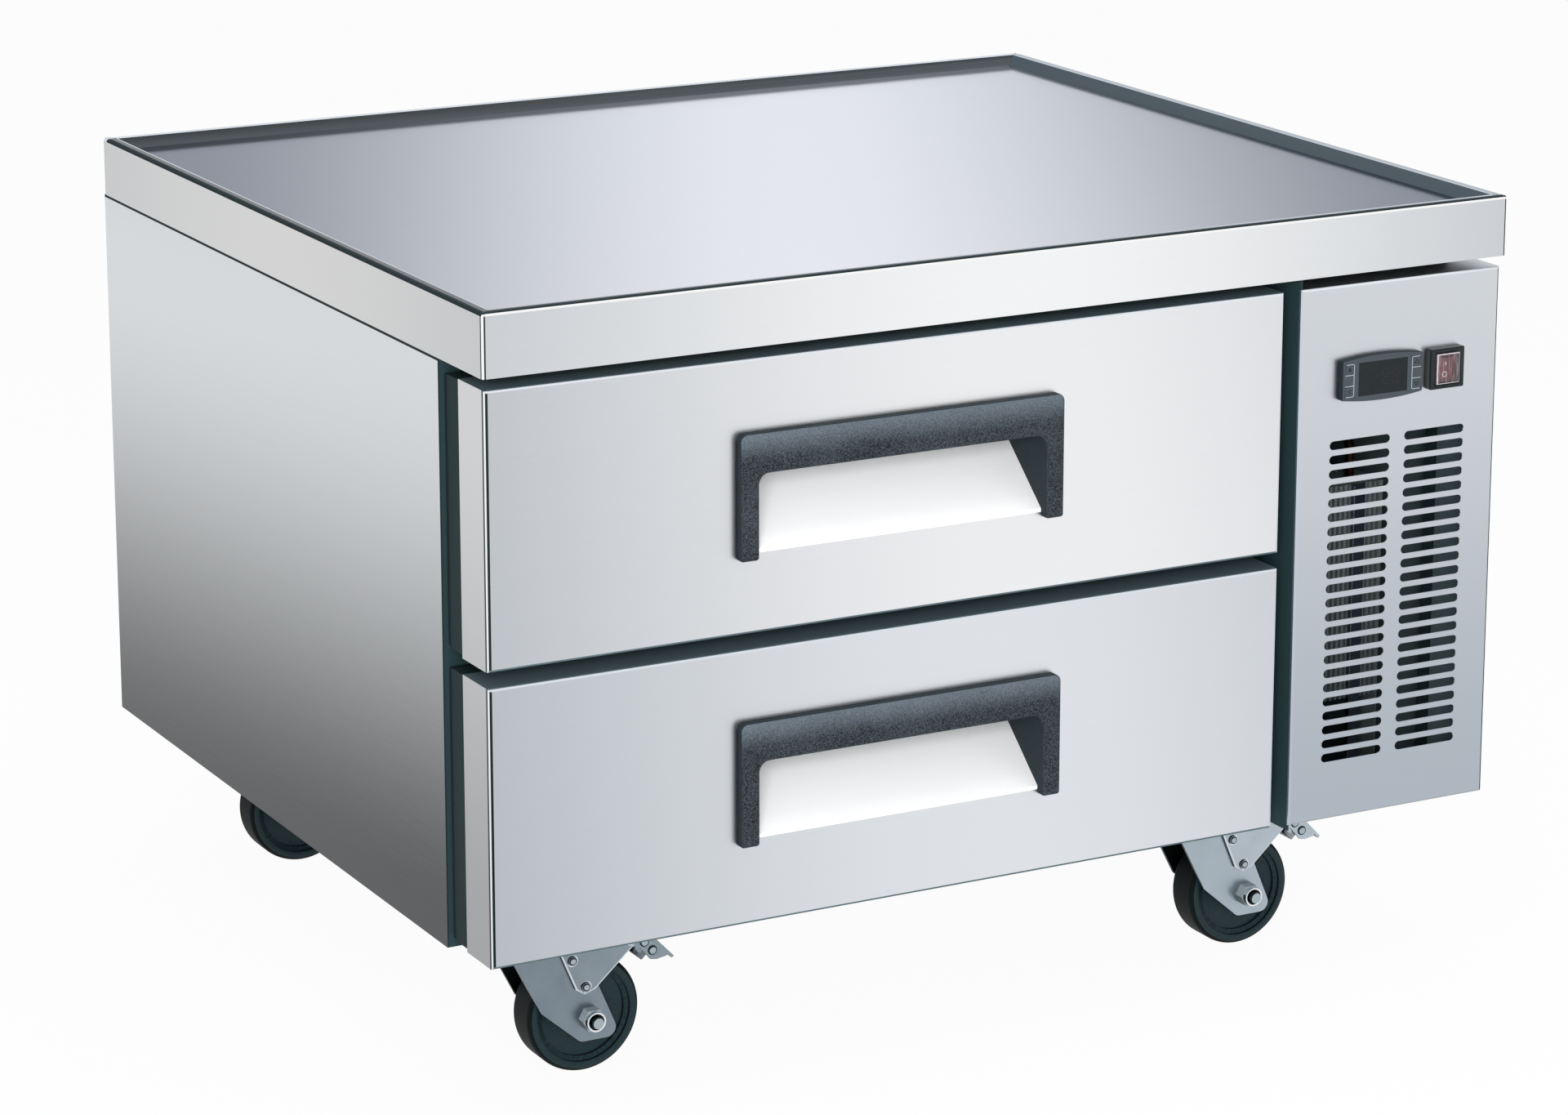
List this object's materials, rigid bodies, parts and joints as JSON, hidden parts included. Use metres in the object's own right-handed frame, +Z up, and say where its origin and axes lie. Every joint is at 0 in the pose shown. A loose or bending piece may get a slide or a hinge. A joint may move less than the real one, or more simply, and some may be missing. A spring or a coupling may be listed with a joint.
{
  "type": "refrigerated chef base",
  "caption": "Low stainless refrigerated base with pull-out drawers, a louvred service panel, a marine-edge worktop and swivel casters.",
  "frame": {"origin": "on the floor, in the middle of the footprint with the drawers shut", "axes": "+X to the right seen from the front, +Y to the back, +Z up"},
  "size_m": [0.924, 0.79, 0.648],
  "materials": {
    "stainless": "fine brushed stainless",
    "dark_wall": "satin dark coating",
    "black_plastic": "fine grain moulded",
    "foam": "rigid insulation foam",
    "seal": "matt soft seal",
    "zinc": "bright zinc plated",
    "wheel_black": "hard smooth tread",
    "slide_steel": "plain stainless",
    "screw_steel": "bright steel",
    "controller_black": "satin slate",
    "window_dark": "gloss smoked",
    "switch_black": "gloss black",
    "rocker_red": "tinted red",
    "clear_cap": "clear soft plastic",
    "coil_aluminium": "bare fins",
    "motor_black": "satin black",
    "fan_plastic": "moulded",
    "copper": "drawn copper",
    "box_grey": "moulded",
    "cover_white": "moulded"
  },
  "bodies": {
    "cabinet": {"worktop": "stainless", "side_panel_left": "stainless", "side_panel_right": "stainless", "back_panel": "stainless", "base_pan": "stainless", "front_frame": "stainless", "inner_liner": "stainless", "insulation": "foam", "machine_partition": "dark_wall", "louvre_panel": "stainless", "chassis_screws": "screw_steel", "slide_cabinet_members": "slide_steel", "controller_housing": "controller_black", "controller_window": "window_dark", "switch_housing": "switch_black", "switch_cap": "clear_cap", "caster_top_plates": "zinc", "cable_gland": "black_plastic", "condenser_coil": "coil_aluminium", "fan_shroud": "motor_black", "condenser_fan_motor": "motor_black", "compressor": "motor_black", "compressor_mounts": "seal", "refrigerant_lines": "copper", "drip_tray": "stainless", "electrical_box": "box_grey", "evaporator_coil": "coil_aluminium", "evaporator_cover": "cover_white", "evaporator_fan_motor": "motor_black"},
    "drawer_upper": {"drawer_front_upper": "stainless", "drawer_liner_upper": "black_plastic", "drawer_gasket_upper": "seal", "handle_upper": "black_plastic", "handle_scoop_upper": "stainless", "pan_carrier_upper": "slide_steel"},
    "slide_middle_upper": {"slide_middle_upper": "slide_steel"},
    "drawer_lower": {"drawer_front_lower": "stainless", "drawer_liner_lower": "black_plastic", "drawer_gasket_lower": "seal", "handle_lower": "black_plastic", "handle_scoop_lower": "stainless", "pan_carrier_lower": "slide_steel"},
    "slide_middle_lower": {"slide_middle_lower": "slide_steel"},
    "key_defrost": {"key_defrost": "controller_black"},
    "key_set": {"key_set": "controller_black"},
    "key_up": {"key_up": "controller_black"},
    "key_down": {"key_down": "controller_black"},
    "switch_rocker": {"switch_rocker": "rocker_red"},
    "caster_fork_front_left": {"caster_fork_front_left": "zinc"},
    "caster_wheel_front_left": {"caster_wheel_front_left": "wheel_black"},
    "brake_pedal_front_left": {"brake_pedal_front_left": "zinc"},
    "caster_fork_front_right": {"caster_fork_front_right": "zinc"},
    "caster_wheel_front_right": {"caster_wheel_front_right": "wheel_black"},
    "brake_pedal_front_right": {"brake_pedal_front_right": "zinc"},
    "caster_fork_rear_left": {"caster_fork_rear_left": "zinc"},
    "caster_wheel_rear_left": {"caster_wheel_rear_left": "wheel_black"},
    "caster_fork_rear_right": {"caster_fork_rear_right": "zinc"},
    "caster_wheel_rear_right": {"caster_wheel_rear_right": "wheel_black"},
    "condenser_fan_blades": {"condenser_fan_blades": "fan_plastic"},
    "evaporator_fan_blades": {"evaporator_fan_blades": "fan_plastic"}
  },
  "joints": [
    {"name": "drawer_upper_travel", "type": "slide", "parent": "cabinet", "child": "drawer_upper", "axis": [0, -1, 0], "range_m": [0, 0.5]},
    {"name": "slide_middle_upper_travel", "type": "slide", "parent": "cabinet", "child": "slide_middle_upper", "axis": [0, -1, 0], "range_m": [0, 0.25]},
    {"name": "drawer_lower_travel", "type": "slide", "parent": "cabinet", "child": "drawer_lower", "axis": [0, -1, 0], "range_m": [0, 0.5]},
    {"name": "slide_middle_lower_travel", "type": "slide", "parent": "cabinet", "child": "slide_middle_lower", "axis": [0, -1, 0], "range_m": [0, 0.25]},
    {"name": "key_defrost_press", "type": "slide", "parent": "cabinet", "child": "key_defrost", "axis": [0, 1, 0], "range_m": [0, 0.0008], "stiffness_N_per_m": 600},
    {"name": "key_set_press", "type": "slide", "parent": "cabinet", "child": "key_set", "axis": [0, 1, 0], "range_m": [0, 0.0008], "stiffness_N_per_m": 600},
    {"name": "key_up_press", "type": "slide", "parent": "cabinet", "child": "key_up", "axis": [0, 1, 0], "range_m": [0, 0.0008], "stiffness_N_per_m": 600},
    {"name": "key_down_press", "type": "slide", "parent": "cabinet", "child": "key_down", "axis": [0, 1, 0], "range_m": [0, 0.0008], "stiffness_N_per_m": 600},
    {"name": "switch_rocker_tilt", "type": "hinge", "parent": "cabinet", "child": "switch_rocker", "pos_m": [0.4036, -0.382, 0.5103], "axis": [1, 0, 0], "range_deg": [-16, 0]},
    {"name": "caster_swivel_front_left", "type": "hinge", "parent": "cabinet", "child": "caster_fork_front_left", "pos_m": [-0.375, -0.275, 0.11], "axis": [0, 0, 1], "continuous": true},
    {"name": "caster_roll_front_left", "type": "hinge", "parent": "caster_fork_front_left", "child": "caster_wheel_front_left", "pos_m": [-0.337, -0.275, 0.0485], "axis": [0, 1, 0], "continuous": true},
    {"name": "brake_pedal_front_left_tip", "type": "hinge", "parent": "caster_fork_front_left", "child": "brake_pedal_front_left", "pos_m": [-0.30151, -0.275, 0.10737], "axis": [0, 1, 0], "range_deg": [0, 20]},
    {"name": "caster_swivel_front_right", "type": "hinge", "parent": "cabinet", "child": "caster_fork_front_right", "pos_m": [0.242, -0.275, 0.11], "axis": [0, 0, 1], "continuous": true},
    {"name": "caster_roll_front_right", "type": "hinge", "parent": "caster_fork_front_right", "child": "caster_wheel_front_right", "pos_m": [0.28, -0.275, 0.0485], "axis": [0, 1, 0], "continuous": true},
    {"name": "brake_pedal_front_right_tip", "type": "hinge", "parent": "caster_fork_front_right", "child": "brake_pedal_front_right", "pos_m": [0.31549, -0.275, 0.10737], "axis": [0, 1, 0], "range_deg": [0, 20]},
    {"name": "caster_swivel_rear_left", "type": "hinge", "parent": "cabinet", "child": "caster_fork_rear_left", "pos_m": [-0.375, 0.299, 0.11], "axis": [0, 0, 1], "continuous": true},
    {"name": "caster_roll_rear_left", "type": "hinge", "parent": "caster_fork_rear_left", "child": "caster_wheel_rear_left", "pos_m": [-0.337, 0.299, 0.0485], "axis": [0, 1, 0], "continuous": true},
    {"name": "caster_swivel_rear_right", "type": "hinge", "parent": "cabinet", "child": "caster_fork_rear_right", "pos_m": [0.242, 0.299, 0.11], "axis": [0, 0, 1], "continuous": true},
    {"name": "caster_roll_rear_right", "type": "hinge", "parent": "caster_fork_rear_right", "child": "caster_wheel_rear_right", "pos_m": [0.28, 0.299, 0.0485], "axis": [0, 1, 0], "continuous": true},
    {"name": "condenser_fan_spin", "type": "hinge", "parent": "cabinet", "child": "condenser_fan_blades", "pos_m": [0.3492, -0.225, 0.296], "axis": [0, 1, 0], "continuous": true},
    {"name": "evaporator_fan_spin", "type": "hinge", "parent": "cabinet", "child": "evaporator_fan_blades", "pos_m": [0.0445, 0.264, 0.3745], "axis": [0, 1, 0], "continuous": true}
  ],
  "couplings": [
    {"joint": "slide_middle_upper_travel", "follows": "drawer_upper_travel", "ratio": 0.5},
    {"joint": "slide_middle_lower_travel", "follows": "drawer_lower_travel", "ratio": 0.5}
  ]
}
